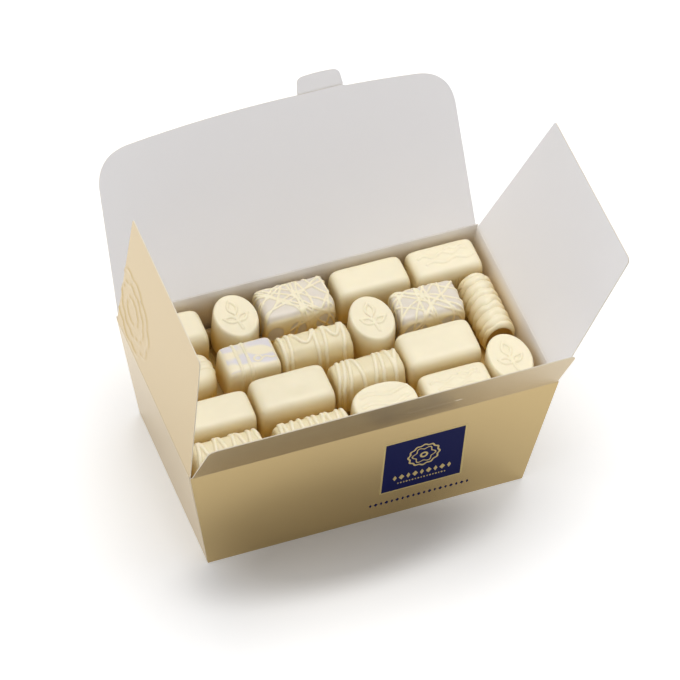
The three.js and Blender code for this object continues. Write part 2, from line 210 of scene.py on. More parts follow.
def add_piece(name, points, faces, materials, indices=None, masks=None, merge=1e-6):
    """A mesh object from points in metres and faces, with doubles merged, holes closed, faces turned
    outwards, and smooth but for its sharp folds. masks are named numbers, one for each point."""
    mesh = bpy.data.meshes.new(name)
    mesh.from_pydata(points, [], faces)
    for m in materials:
        mesh.materials.append(m)
    if indices is not None:
        mesh.polygons.foreach_set("material_index", np.asarray(indices, np.int32))
    for key, values in (masks or {}).items():
        mask = mesh.attributes.new(key, "FLOAT", "POINT")
        mask.data.foreach_set("value", np.asarray(values, np.float32).ravel())
    shape = bmesh.new()
    shape.from_mesh(mesh)
    if merge:
        bmesh.ops.remove_doubles(shape, verts=shape.verts, dist=merge)
    bmesh.ops.holes_fill(shape, edges=shape.edges, sides=0)
    bmesh.ops.recalc_face_normals(shape, faces=shape.faces)
    shape.to_mesh(mesh)
    shape.free()
    mesh.polygons.foreach_set("use_smooth", np.full(len(mesh.polygons), True))
    mesh.set_sharp_from_angle(angle=SHARP_FOLD)
    made = bpy.data.objects.new(name, mesh)
    bpy.context.scene.collection.objects.link(made)
    return made


def quads(rows, columns):
    """Faces of a grid of points stored row by row."""
    i, j = np.meshgrid(np.arange(rows - 1), np.arange(columns - 1), indexing="ij")
    a = (i * columns + j).ravel()
    return np.stack([a, a + columns, a + columns + 1, a + 1], 1)


def board_sheet(inner, normal, keep=None):
    """A sheet of board as points, faces and material numbers: an inner grid, its copy set back by the
    board against the normal, and a strip along every edge that only one cell has. keep marks the cells
    that are not punched out."""
    count = inner.shape[0] * inner.shape[1]
    cells = quads(*inner.shape[:2])
    if keep is not None:
        cells = cells[keep.ravel()]
    sides = np.stack([cells, np.roll(cells, -1, 1)], 2).reshape(-1, 2)
    rim = sides[~np.isin(sides[:, 0] * count + sides[:, 1], sides[:, 1] * count + sides[:, 0])]
    strip = np.stack([rim[:, 1], rim[:, 0], rim[:, 0] + count, rim[:, 1] + count], 1)
    faces = np.concatenate([cells, cells[:, ::-1] + count, strip])
    points = np.concatenate([inner, inner - np.asarray(normal) * BOARD * MM]).reshape(-1, 3)
    used, faces = np.unique(faces, return_inverse=True)
    return points[used], faces.reshape(-1, 4), np.repeat([1, 0, 2], [len(cells), len(cells), len(strip)])


def joined(parts):
    """Several shapes as one list of points, faces and material numbers."""
    starts = np.cumsum([0] + [len(p) for p, f, n in parts[:-1]])
    faces = np.concatenate([f + start for start, (p, f, n) in zip(starts, parts)])
    return np.concatenate([p for p, f, n in parts]), faces, np.concatenate([n for p, f, n in parts])


def eased(count, sharp=1.0):
    """Numbers from 0 to 1, closer together near both ends."""
    t = np.linspace(0, 1, count)
    return (1 - sharp) * t + sharp * (0.5 - 0.5 * np.cos(np.pi * t))


# The tray of the carton: a floor and four walls that lean out, folded up from one blank and glued
# at the corners. The front left corner has sprung open towards the top, as on a carton in use.
TOP_LENGTH, TOP_DEPTH = 190.0, 107.0
END_TAPER, LONG_TAPER = 12.2, 3.5
LID_CREASE, FRONT_CREASE, END_CREASE = 75.0, 74.35, 73.7
SPRUNG_GAP, SPRUNG_DEPTH, CORNER_GAP = 2.4, 60.0, 0.25
SPRUNG_CURVE = 1.3
FOLD_RADIUS, ROD_RADIUS = 0.36, 0.28
WALL_COLUMNS, WALL_ROWS = 25, 30


def half_length(z):
    """Half the carton's length at a height, on the middle of the board."""
    return TOP_LENGTH / 2 - END_TAPER * (1 - z / END_CREASE)


def half_depth(z):
    """Half the carton's depth at a height, on the middle of the board."""
    return TOP_DEPTH / 2 - LONG_TAPER * (1 - z / LID_CREASE)


def long_wall(side, crease):
    """The front or rear wall from the base to its crease: half_depth from the middle at every height."""
    s, z = np.meshgrid(np.linspace(-1, 1, WALL_COLUMNS), np.linspace(0, crease, WALL_ROWS), indexing="xy")
    reach = half_length(z) + BOARD / 2
    normal = np.array([0, -side, LONG_TAPER / LID_CREASE])
    inner = np.stack([s * reach, side * (half_depth(z) - BOARD / 2), z], 2) * MM
    return board_sheet(inner, normal / np.linalg.norm(normal))


def end_wall(side):
    """An end wall, set between the long walls. Its front edge stands back where the corner has sprung."""
    s, z = np.meshgrid(eased(WALL_COLUMNS), np.linspace(0, END_CREASE, WALL_ROWS), indexing="xy")
    reach = half_depth(z) - BOARD / 2 - CORNER_GAP
    opened = np.clip((z - END_CREASE + SPRUNG_DEPTH) / SPRUNG_DEPTH, 0, 1) ** SPRUNG_CURVE
    sprung = SPRUNG_GAP * opened * (side < 0)
    normal = np.array([-side, 0, END_TAPER / END_CREASE])
    y = sprung - reach + (2 * reach - sprung) * s
    inner = np.stack([side * (half_length(z) - BOARD / 2), y, z], 2) * MM
    return board_sheet(inner, normal / np.linalg.norm(normal))


def rolled_fold(start, end, inward, radius=ROD_RADIUS, sides=12):
    """A fold, whose board rolls over a small radius: a closed rod between two points in millimetres, gold
    but for the half that faces inward."""
    start, end = np.array(start, float), np.array(end, float)
    along = (end - start) / np.linalg.norm(end - start)
    across = np.cross(along, [0.1, 0.2, 1.0])
    across /= np.linalg.norm(across)
    angle = np.linspace(0, 2 * np.pi, sides + 1)[:, None]
    ring = (across * np.cos(angle) + np.cross(along, across) * np.sin(angle)) * radius
    grid = np.stack([start + 0 * ring, start + ring, end + ring, end + 0 * ring]) * MM
    white = (ring[:-1] + ring[1:]) @ np.array(inward, float) > 0
    return grid.reshape(-1, 3), quads(4, sides + 1), np.tile(white.astype(int), 3)


x, y = np.meshgrid(np.linspace(-1, 1, 12) * (half_length(0) - BOARD / 2),
                   np.linspace(-1, 1, 8) * (half_depth(0) - BOARD / 2), indexing="xy")
tray_floor = board_sheet(np.stack([x, y, np.full_like(x, BOARD)], 2) * MM, (0, 0, 1))
rim_x, rim_y, foot_x, foot_y = TOP_LENGTH / 2, TOP_DEPTH / 2, half_length(0), half_depth(0)
folds = [
    rolled_fold((-rim_x, rim_y, LID_CREASE), (rim_x, rim_y, LID_CREASE), (0, -1, 0.4)),
    rolled_fold((-rim_x, -rim_y, FRONT_CREASE), (rim_x, -rim_y, FRONT_CREASE), (0, 1, 0.2)),
    rolled_fold((-rim_x, SPRUNG_GAP - rim_y, END_CREASE), (-rim_x, rim_y - BOARD, END_CREASE), (1, 0, 0.1)),
    rolled_fold((rim_x, BOARD - rim_y, END_CREASE), (rim_x, rim_y - BOARD, END_CREASE), (-1, 0, 0.2)),
]
for across in (-1, 1):
    folds.append(rolled_fold((-foot_x, across * foot_y, FOLD_RADIUS), (foot_x, across * foot_y, FOLD_RADIUS),
                             (0, -across, 1)))
    folds.append(rolled_fold((across * foot_x, -foot_y, FOLD_RADIUS), (across * foot_x, foot_y, FOLD_RADIUS),
                             (-across, 0, 1)))
    for along in (-1, 1):
        folds.append(rolled_fold((along * foot_x, across * foot_y, FOLD_RADIUS),
                                 (along * rim_x, across * rim_y, END_CREASE), (-along, -across, 0)))
walls = [long_wall(-1, FRONT_CREASE), long_wall(1, LID_CREASE), end_wall(-1), end_wall(1)]
points, faces, numbers = joined([tray_floor, *walls, *folds])
tray = add_piece("carton_tray", points, faces, [foil, liner, pulp], numbers, merge=0.2e-6)
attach(tray, "box")
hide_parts("carton")

# The five panels above the rim: lid, tuck tab, front flap and two end flaps, die-cut from the same
# board. Each hangs on its crease and leans as it was left when the box was opened.
LID_LEAN, LEFT_LEAN, RIGHT_LEAN, FRONT_LEAN = 34.5, -2.0, 22.0, 24.0
LID_LENGTH, LID_BOW, LID_CORNER = 87.0, 0.0007, 18.0
LEFT_TRIM, SIDE_INSET = 0.035, 0.6
TAB_CENTRE, TAB_WIDTH, TAB_CREASE, TAB_LENGTH = 26.6, 24.0, 87.2, 8.6
FLAP_LENGTH, FLAP_FRONT_TRIM, FLAP_REAR_TRIM, FLAP_SIDE_GAP = 84.0, 0.3, 10.5, 0.85
FRONT_LENGTH, SLIT_LEFT, SLIT_RIGHT, SLIT_LOW, SLIT_HIGH = 43.0, 13.1, 40.1, 17.0, 18.2
CUT_LOW, CUT_HIGH, NICK_LEFT = 17.5, 17.7, 37.5


def die_cut(edge, corner, distance):
    """Height of a free edge near a corner of a given length: the two straight edges joined by a parabola,
    on which the roots of the distances from the edges, in corner lengths, add up to 1."""
    return edge - corner * (1 - np.sqrt(np.clip(distance / corner, 0, 1))) ** 2


def panel(name, body, left, right, top, corners, frame_of, columns, rows, press=None, slit=(), rods=()):
    """A panel of board on its crease. left and right are a side's place and its drift for each millimetre
    from the crease; top is the free edge as a function of u; corners are the lengths of its two corners;
    press lifts the board out of its plane; slit is a list of punched boxes of u and v; rods are its folds."""
    origin, along, out, lean = frame_of
    s, t = eased(columns), eased(rows, 0.6)
    edge = np.full(columns, float(top(np.zeros(1))[0]))
    for _ in range(4):
        low, high = left[0] + left[1] * edge, right[0] + right[1] * edge
        u = low + (high - low) * s
        edge = np.minimum(die_cut(top(u), corners[0], u - low), die_cut(top(u), corners[1], high - u))
    cuts = np.array([box[2:] for box in slit]).ravel()
    t = np.sort(np.append(t, (cuts - FOLD_RADIUS) / (edge.max() - FOLD_RADIUS)))
    v = FOLD_RADIUS + (edge - FOLD_RADIUS) * t[:, None]
    u = left[0] + left[1] * v + (right[0] - left[0] + (right[1] - left[1]) * v) * s
    middle_u, middle_v = (u[1:, 1:] + u[:-1, :-1]) / 2, (v[1:, 1:] + v[:-1, :-1]) / 2
    keep = np.full(middle_u.shape, True)
    for box in slit:
        keep &= (middle_u < box[0]) | (middle_u > box[1]) | (middle_v < box[2]) | (middle_v > box[3])
    lift = BOARD / 2 + (press(u, v) if press else 0 * u)
    angle = np.radians(lean)
    along, out, height = np.array(along, float), np.array(out, float), np.array([0, 0, 1.0])
    rise, inward = out * np.sin(angle) + height * np.cos(angle), height * np.sin(angle) - out * np.cos(angle)
    grid = np.array(origin) + u[..., None] * along + v[..., None] * rise + lift[..., None] * inward
    points, faces, numbers = joined([board_sheet(grid * MM, inward, keep), *rods])
    made = add_piece(name + "_board", points, faces, [foil, liner, pulp], numbers, merge=0.2e-6)
    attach(made, body)
    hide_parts(name)


def pressed_rosette(u, v, centre=(34.0, 26.0), rings=(7.0, 14.0, 21.0), petals=10, width=1.0, depth=0.4):
    """A blind-embossed rosette: rings round a centre whose radius swells and shrinks once for each petal,
    pressed outwards, each with a section that falls off as a bell curve."""
    angle = np.arctan2(v - centre[1], u - centre[0])
    radius = np.hypot(u - centre[0], v - centre[1])
    lines = [radius - r * (1 + 0.1 * np.abs(np.sin(petals / 2 * angle + k))) for k, r in enumerate(rings)]
    return -depth * sum(np.exp(-(line / width) ** 2) for line in lines)


def lid_edge(u):
    """The lid's free edge: a shallow parabola, with a straight step where the tab hangs on it."""
    at_tab = np.abs(u - TAB_CENTRE) < TAB_WIDTH / 2
    return np.where(at_tab, TAB_CREASE - FOLD_RADIUS, LID_LENGTH - LID_BOW * u * u)


lid_frame = ((0, rim_y, LID_CREASE), (1, 0, 0), (0, 1, 0), LID_LEAN)
tab_y = rim_y + TAB_CREASE * np.sin(np.radians(LID_LEAN))
tab_z = LID_CREASE + TAB_CREASE * np.cos(np.radians(LID_LEAN))
tab_frame = ((TAB_CENTRE, tab_y, tab_z), (1, 0, 0), (0, 1, 0), LID_LEAN)
tab_fold = rolled_fold((TAB_CENTRE - TAB_WIDTH / 2, tab_y, tab_z), (TAB_CENTRE + TAB_WIDTH / 2, tab_y, tab_z),
                       (0, -1, 0.7))
front_frame = ((0, -rim_y, FRONT_CREASE), (1, 0, 0), (0, -1, 0), FRONT_LEAN)
side_at = rim_x - SIDE_INSET
panel("lid_panel", "lid", (-side_at, LEFT_TRIM), (side_at - 0.2, 0), lid_edge, (LID_CORNER, LID_CORNER),
      lid_frame, 160, 30, rods=[tab_fold])
panel("tuck_tab", "tab", (-TAB_WIDTH / 2, 0.12), (TAB_WIDTH / 2, -0.12), lambda u: TAB_LENGTH - 0.006 * u * u,
      (3.0, 3.0), tab_frame, 40, 10)
cut = [(SLIT_LEFT, SLIT_RIGHT, CUT_LOW, CUT_HIGH), (NICK_LEFT, SLIT_RIGHT, SLIT_LOW, SLIT_HIGH)]
panel("front_flap", "front", (-side_at, LEFT_TRIM), (side_at, 0), lambda u: 0 * u + FRONT_LENGTH, (5.0, 5.0),
      front_frame, 160, 48, slit=cut)
flap_side = rim_y - FLAP_SIDE_GAP
for side, name, body, lean, press in ((-1, "left_flap", "left", LEFT_LEAN, pressed_rosette),
                                      (1, "right_flap", "right", RIGHT_LEAN, None)):
    flap_frame = ((side * rim_x, 0, END_CREASE), (0, 1, 0), (side, 0, 0), lean)
    columns, rows = (170, 140) if press else (40, 30)
    panel(name, body, (-flap_side, FLAP_FRONT_TRIM / FLAP_LENGTH), (flap_side, -FLAP_REAR_TRIM / FLAP_LENGTH),
          lambda u: 0 * u + FLAP_LENGTH, (3.0, 1.5), flap_frame, columns, rows, press)

# The print on the front wall: a dark blue field with a gold keyline, a plain rosette and rows of
# lozenges in gold, and a row of small blue lozenges underneath, all in thin flat ink.
FIELD_LEFT, FIELD_RIGHT, FIELD_LOW, FIELD_HIGH = 6.4, 48.0, 19.5, 58.5
KEYLINE, ROSETTE_HIGH = 0.9, 23.8
INK = 0.03
BLUE, PRINT_GOLD = "#12174A", "#C9B478"
blue_ink = material("dark_blue_offset_ink", 0.5, Base_Color=linear(BLUE), Specular_IOR_Level=0.06)[0]
gold_ink = material("pale_gold_hot_foil", 0.4, Base_Color=linear(PRINT_GOLD), Metallic=0.5)[0]


def on_front(x, z, lift):
    """A place on the outside of the front wall, lifted off it, in metres."""
    slope = np.array([0, -1, -LONG_TAPER / LID_CREASE])
    slope /= np.linalg.norm(slope)
    middle = np.stack([x, -half_depth(z) + 0 * x, z + 0 * x], -1)
    return (middle + slope * (BOARD / 2 + np.asarray(lift)[..., None])) * MM


def ink_patches(name, patches, ink, layer):
    """Flat patches of print. Each is an outer outline x, z and an inner one that the ink fills to, or None
    for the outline's middle; the ink has a thickness and stands on the layers printed before it."""
    parts = []
    for (x0, z0), inner in patches:
        x1, z1 = inner or (0 * x0 + x0[:-1].mean(), 0 * z0 + z0[:-1].mean())
        x, z = np.stack([x0, x1, x1, x0, x0]), np.stack([z0, z1, z1, z0, z0])
        lift = np.array([1, 1, 0, 0, 1])[:, None] * INK + layer * INK + 0.01 + 0 * x
        faces = quads(*x.shape)
        parts.append((on_front(x, z, lift).reshape(-1, 3), faces, np.zeros(len(faces), int)))
    made = add_piece(name, *joined(parts)[:2], [ink], merge=1e-7)
    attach(made, "box")


def outline(x, z, radius_x, radius_z, sides, swell=0.0, petals=0):
    """A closed outline round a centre: a polygon, a circle, or a circle that swells at each petal."""
    angle = np.linspace(0, 2 * np.pi, sides + 1)
    share = 1 + swell * np.cos(petals * angle)
    return x + radius_x * share * np.cos(angle), z + radius_z * share * np.sin(angle)


def frame_outline(inset):
    """The field's outline, drawn in by an inset."""
    x, z = np.array([0, 1, 1, 0, 0]), np.array([0, 0, 1, 1, 0])
    return (FIELD_LEFT + inset + (FIELD_RIGHT - FIELD_LEFT - 2 * inset) * x,
            FIELD_LOW + inset + (FIELD_HIGH - FIELD_LOW - 2 * inset) * z)


def lozenges(count, left, right, z, half_width, half_height):
    """A row of lozenges, alternately narrow and wide."""
    return [(outline(x, z, half_width * (0.7 + 0.3 * (k % 2)), half_height, 4), None)
            for k, x in enumerate(np.linspace(left, right, count))]


def petalled(radius, sides, swell=0.0, petals=0):
    """A ring of the rosette, round the middle of the field."""
    x, z = (FIELD_LEFT + FIELD_RIGHT) / 2, FIELD_LOW + ROSETTE_HIGH
    return outline(x, z, radius, radius, sides, swell, petals)


ink_patches("label_field", [(frame_outline(0), None)], blue_ink, 0)
ink_patches("label_keyline", [(frame_outline(-KEYLINE), frame_outline(0))], gold_ink, 0)
ink_patches("label_rosette", [
    (petalled(8.4, 96, 0.05, 12), petalled(7.4, 96, 0.05, 12)),
    (petalled(5.7, 96, 0.14, 6), petalled(5.0, 96, 0.16, 6)),
    (petalled(2.2, 48), petalled(1.1, 48))], gold_ink, 1)
ink_patches("label_lozenges", lozenges(9, FIELD_LEFT + 6.5, FIELD_RIGHT - 6.5, FIELD_LOW + 9.8, 1.5, 2.1)
            + lozenges(17, FIELD_LEFT + 8.5, FIELD_RIGHT - 8.5, FIELD_LOW + 5.2, 0.6, 0.7), gold_ink, 1)
ink_patches("base_lozenges", lozenges(19, FIELD_LEFT - 5, FIELD_RIGHT + 4.6, 10.9, 1.05, 1.3), blue_ink, 0)

# The cast pralines: white chocolate poured into moulds, shaken level and knocked out. They stand on
# the layer below, flat side down: long rounded blocks, some flatter, some plainly arched.
# The second colour is painted shade: low down, between the two heights on the next line, the chocolate turns
# to it from the first.
IVORY, IVORY_PAINTED_SHADE = "#EEE4C6", "#EFCF7E"
CHOCOLATE_SHADE_LOW, CHOCOLATE_SHADE_HIGH = 58 * MM, 72 * MM
MOTTLE, GRAIN = 9 * MM, 0.8 * MM
STEP = 0.5
COAT_TAKES = np.array([0, 1.8, 1])


def chocolate(name, top, deep, field, roughness=0.42):
    """Set white chocolate: satin and waxy, with painted shade that turns it a deeper ochre low down, where
    the gaps between the pralines lie in shade, and of another colour where its field mask is 1."""
    made, tree, shader = material(name, roughness, IOR=1.46, Subsurface_Weight=0.15,
                                  Subsurface_Radius=(1.0, 0.75, 0.35), Subsurface_Scale=2.5 * MM)
    place = node(tree, "TexCoord").outputs["Object"]
    height = node(tree, "SeparateXYZ", Vector=place).outputs["Z"]
    # painted shade: deeper ochre low down, pale cream at the crowns
    rise = node(tree, "MapRange", Value=height, From_Min=CHOCOLATE_SHADE_LOW, From_Max=CHOCOLATE_SHADE_HIGH).outputs[0]
    body = node(tree, "Mix", {"data_type": "RGBA"}, Factor=rise, i6=linear(deep), i7=linear(top)).outputs[2]
    mask = node(tree, "Attribute", {"attribute_name": "field"}).outputs["Fac"]
    colour = node(tree, "Mix", {"data_type": "RGBA"}, Factor=mask, i6=body, i7=linear(field)).outputs[2]
    # slow mottling where the cocoa butter sets unevenly
    mottle = node(tree, "TexNoise", Vector=place, Scale=1 / MOTTLE, Detail=2.0).outputs[0]
    value = node(tree, "MapRange", Value=mottle, To_Min=0.95, To_Max=1.03).outputs[0]
    tinted = node(tree, "HueSaturation", Value=value, Color=colour).outputs[0]
    tree.links.new(tinted, shader.inputs["Base Color"])
    surface_bump(tree, shader, GRAIN, detail=3.0, strength=0.12, depth=0.03 * MM)
    return made


ivory = chocolate("cast_white_chocolate", IVORY, IVORY_PAINTED_SHADE, IVORY_PAINTED_SHADE)


def along_curve(x, y, count):
    """Points of a curve given as two long arrays, evenly spaced by its length, and that length."""
    length = np.concatenate([[0], np.cumsum(np.hypot(np.diff(x), np.diff(y)))])
    even = np.linspace(0, length[-1], count)
    return np.interp(even, length, x), np.interp(even, length, y), length[-1]


def super_arc(exponent, start, end, across, high):
    """An arc of the curve |x/across|^n + |y/high|^n = 1 between two angles, as two long arrays."""
    angle = np.linspace(start, end, 20001)
    c, s = np.cos(angle), np.sin(angle)
    return across * np.sign(c) * np.abs(c) ** (2 / exponent), high * np.sign(s) * np.abs(s) ** (2 / exponent)


def loaf(size, square, end_square, draft=0.05, tuck=0.0, step=STEP, ends=None):
    """A long praline: a superellipse arch carried along X, drawn in at both ends by another superellipse.
    Gives its grid in millimetres, and for each point how far it lies along and across the unrolled
    surface, from the middle of the crown. Rows run along it, columns from its rear foot to its front."""
    length, width, height = size
    along, share = ends or super_arc(end_square, np.pi, 0, length / 2, height)
    reach = along_curve(along, share, 2)[2]
    along, share, _ = along_curve(along, share, int(reach / step))
    under = np.radians(tuck)
    across, rise = super_arc(square, -under, np.pi + under, width / 2, height)
    rise = (rise + height * np.sin(under)) / (1 + np.sin(under))
    girth = along_curve(across, rise, 2)[2]
    across, rise, _ = along_curve(across, rise, int(girth / step))
    across = across * (1 - draft * rise / height)
    share = share[:, None] / height
    grid = np.stack([along[:, None] + 0 * across, across * share, rise * share], 2)
    p = np.linspace(-reach / 2, reach / 2, len(along))[:, None] + 0 * across
    q = np.linspace(girth / 2, -girth / 2, len(across)) * np.clip(share, 0, 1)
    return grid, p, q


def grid_normals(grid):
    """Unit normals of a grid of points, from the differences between its neighbours, pointing out."""
    normals = np.cross(np.gradient(grid, axis=0), np.gradient(grid, axis=1))
    normals /= np.maximum(np.linalg.norm(normals, axis=2, keepdims=True), 1e-9)
    middle = grid.reshape(-1, 3).mean(0)
    return normals * np.sign((normals * (grid - middle)).sum())


def seat(name, coat=0.0, turned=False):
    """The place of a praline in the tray, its foot, and its size less what the coat of its relief takes
    off its length, width and height."""
    low, high = (np.array(corner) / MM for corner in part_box(name))
    size = high - low
    if turned:
        size = size[[1, 0, 2]]
    return np.array([*(low + high)[:2] / 2, low[2]]), size - COAT_TAKES * coat


def set_down(name, grid, place, finish, relief=None, field=None, turn=0.0):
    """Raises the relief on a praline's grid along its normals, turns it about Z and stands it at its place.
    Its open foot is closed flat."""
    if relief is not None:
        grid = grid + grid_normals(grid) * relief[..., None]
    grid = np.concatenate([grid[..., :2], np.maximum(grid[..., 2:], 0)], 2)
    a = np.radians(turn)
    spin = np.array([[np.cos(a), np.sin(a), 0], [-np.sin(a), np.cos(a), 0], [0, 0, 1]])
    points = (grid.reshape(-1, 3) @ spin + place) * MM
    field = np.zeros(grid.shape[:2]) if field is None else field
    made = add_piece(name + "_body", points, quads(*grid.shape[:2]), [finish], masks={"field": field},
                     merge=2e-6)
    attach(made, "box")
    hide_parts(name)


def lumps(p, q, size, height, seed):
    """Gentle unevenness: a sum of cosine waves in random directions, about as long as size."""
    random = np.random.default_rng(seed)
    total = 0 * p
    for _ in range(6):
        angle, phase = random.uniform(0, np.pi), random.uniform(0, 2 * np.pi)
        length = size * random.uniform(0.7, 1.5)
        total = total + np.cos(2 * np.pi * (p * np.cos(angle) + q * np.sin(angle)) / length + phase)
    return height * total / 6


PLAIN = {
    "praline_r1_plain_log": (5.0, 7.0), "praline_r1_square_log": (6.0, 9.0),
    "praline_r3_plain_log": (7.0, 9.0), "praline_r3_plain_block": (7.0, 9.0),
    "praline_r3_wide_block": (7.0, 9.0)}
DIMPLED, DIMPLE_DEPTH, DIMPLE_RADIUS = "praline_r3_plain_block", 0.8, 4.5
for number, (name, (square, end_square)) in enumerate(PLAIN.items()):
    place, size = seat(name)
    grid, p, q = loaf(size, square, end_square)
    relief = lumps(p, q, 22, 0.15, number) - 0.15
    if name == DIMPLED:
        relief = relief - DIMPLE_DEPTH * np.exp(-((p - 1) ** 2 + (q + 1) ** 2) / DIMPLE_RADIUS ** 2)
    set_down(name, grid, place, ivory, relief)

# The fluted blocks: cast like the others, in moulds with upright flutes low on the sides and shallow
# scrolling lines on the crown.
FLUTE_PITCH, FLUTE_DEPTH, FLUTE_TOP = 1.7, 0.5, 0.72
SCROLL_WIDTH, SCROLL_HEIGHT = 1.8, 0.42


def distance_to(p, q, path):
    """Distance of every point of an unrolled surface from a polyline on it, in millimetres."""
    start, step = path[:-1], path[1:] - path[:-1]
    dp, dq = p[..., None] - start[:, 0], q[..., None] - start[:, 1]
    share = np.clip((dp * step[:, 0] + dq * step[:, 1]) / (step ** 2).sum(1), 0, 1)
    return np.hypot(dp - share * step[:, 0], dq - share * step[:, 1]).min(-1)


def beads(p, q, paths, width, height):
    """Raised lines along paths, each with a half-round section; where lines cross they run together."""
    total = 0 * p
    for path in paths:
        total = total + np.clip(1 - (distance_to(p, q, path) * 2 / width) ** 2, 0, None)
    return height * np.sqrt(np.minimum(total, 1))


def flutes(p, rise):
    """Upright flutes: cosine grooves along the praline that fade out towards the crown."""
    fade = np.clip((FLUTE_TOP - rise) / 0.12, 0, 1)
    return -FLUTE_DEPTH * (0.5 - 0.5 * np.cos(2 * np.pi * p / FLUTE_PITCH)) * fade


def wave(p0, p1, q0, height, turns, count=40):
    """A line along a praline that swings from side to side."""
    t = np.linspace(0, 1, count)
    return np.stack([p0 + (p1 - p0) * t, q0 + height * np.sin(2 * np.pi * turns * t)], 1)


for name in ("praline_r1_fluted_block", "praline_r4_fluted_block"):
    place, size = seat(name)
    grid, p, q = loaf(size, 6.0, 9.0, step=0.35)
    rise = grid[..., 2] / size[2]
    scrolls = [wave(-13, 12, 2.5, 1.2, 2.5), wave(-10, 14, -2.5, 1.0, 2), wave(2, 11, 5.2, 0.7, 1.5)]
    raised = beads(p, q, scrolls, SCROLL_WIDTH, SCROLL_HEIGHT) * (rise > 0.8)
    relief = flutes(p, rise) + raised - SCROLL_HEIGHT
    set_down(name, grid, place, ivory, relief)

# The ovals: cast medallions with a slightly sunk face inside a soft rim, and a raised sprig of three
# leaves on the face. The wide one in the front row has waves instead.
OVAL_PROFILE = [(1, 0), (0.995, 0.3), (0.98, 0.78), (0.95, 0.95), (0.885, 1.0), (0.8, 0.985), (0.4, 0.975),
                (0, 0.975)]
LEAF_LINE, LEAF_HEIGHT = 1.6, 0.6
WAVE_WIDTH, WAVE_HEIGHT = 2.2, 0.4


def rounded(profile, passes=4):
    """A polyline with its corners cut: each pass keeps the points a quarter in from both ends of a line."""
    points = np.array(profile, float)
    for _ in range(passes):
        a, b = points[:-1], points[1:]
        cut = np.stack([0.75 * a + 0.25 * b, 0.25 * a + 0.75 * b], 1).reshape(-1, 2)
        points = np.concatenate([points[:1], cut, points[-1:]])
    return points


def medallion(size, profile, outline_square=2.0, step=0.32):
    """A praline that is oval from above: a profile of (share of the outline, share of the height) carried
    round an oval. Rows run from the foot over the rim to the middle, columns round it."""
    length, width, height = size
    profile = rounded(profile) * [width / 2, height]
    reach = along_curve(*profile.T, 2)[2]
    share, rise, _ = along_curve(*profile.T, int(reach / step))
    x, y = super_arc(outline_square, 0, 2 * np.pi, length / 2, width / 2)
    girth = along_curve(x, y, 2)[2]
    x, y, _ = along_curve(x, y, int(girth / step))
    share = share[:, None] / (width / 2)
    return np.stack([x * share, y * share, rise[:, None] + 0 * x], 2)


def leaf(x, y, length, angle, fullness=0.3):
    """A closed leaf outline from its stalk: two arcs that meet in a point."""
    t = np.linspace(0, 1, 18)
    half = fullness * length * np.sin(np.pi * t) * (1 - 0.3 * t)
    a = np.radians(angle)
    along, across = np.concatenate([t, t[::-1]]) * length, np.concatenate([half, -half[::-1]])
    return np.stack([x + along * np.cos(a) - across * np.sin(a),
                     y + along * np.sin(a) + across * np.cos(a)], 1)


def line(*points):
    """A path through a few points."""
    return np.array(points, float)


for name, lean in (("praline_r1_oval", 4), ("praline_r2_oval", -5), ("praline_r3_oval", 2)):
    place, size = seat(name)
    grid = medallion(size, OVAL_PROFILE)
    stalk = line((0.6, -9), (0.2, -5), (-0.3, -1), (0, 2))
    sprig = [stalk, leaf(0, 1, 8.5, 90 + lean), leaf(0, -3.5, 7, 28 + lean), leaf(0, -3.5, 7, 152 + lean)]
    face = grid[..., 2] > 0.93 * size[2]
    relief = beads(grid[..., 0], grid[..., 1], sprig, LEAF_LINE, LEAF_HEIGHT) * face
    set_down(name, grid, place, ivory, relief)
place, size = seat("praline_r4_wavy_oval")
grid = medallion(size, OVAL_PROFILE, 2.3)
waves = [wave(-11, 13, 5, 1.1, 1.3), wave(-12, 12, -1, 1.3, 1.2), wave(-10, 10, -6, 1.0, 1.0)]
relief = beads(grid[..., 0], grid[..., 1], waves, WAVE_WIDTH, WAVE_HEIGHT) * (grid[..., 2] > 0.9 * size[2])
set_down("praline_r4_wavy_oval", grid, place, ivory, relief)

# The fluted dome: a cast praline with a full crown, three soft waves over it and a fluted skirt.
DOME_PROFILE = [(1, 0), (0.99, 0.35), (0.965, 0.62), (0.89, 0.84), (0.7, 0.97), (0.35, 1.0), (0, 1.0)]
SKIRT_FLUTES = 52
place, size = seat("praline_r2_fluted_dome")
grid = medallion(size, DOME_PROFILE, 2.5)
turned_by = np.arctan2(grid[..., 1], grid[..., 0])
rise = grid[..., 2] / size[2]
relief = -FLUTE_DEPTH * (0.5 - 0.5 * np.cos(SKIRT_FLUTES * turned_by)) * np.clip((0.5 - rise) / 0.12, 0, 1)
waves = [wave(-13, 13, 6.5, 0.8, 1.5), wave(-14, 14, 2.5, 0.9, 1.5), wave(-13, 13, -2, 0.8, 1.5)]
relief = relief + beads(grid[..., 0], grid[..., 1], waves, WAVE_WIDTH, WAVE_HEIGHT) * (rise > 0.7)
set_down("praline_r2_fluted_dome", grid, place, ivory, relief - 0.2)

# The laced blocks: a pale and slightly grey coating, laced all over by hand with thin threads of white
# chocolate. The drips meet low on the front and leave round windows.
LACED, LILAC = "#DAD1C4", "#D9D4D8"
LACE_WIDTH, LACE_HEIGHT = 1.3, 0.5
laced = chocolate("pale_grey_coating_with_threads", IVORY, IVORY_PAINTED_SHADE, LACED, 0.36)


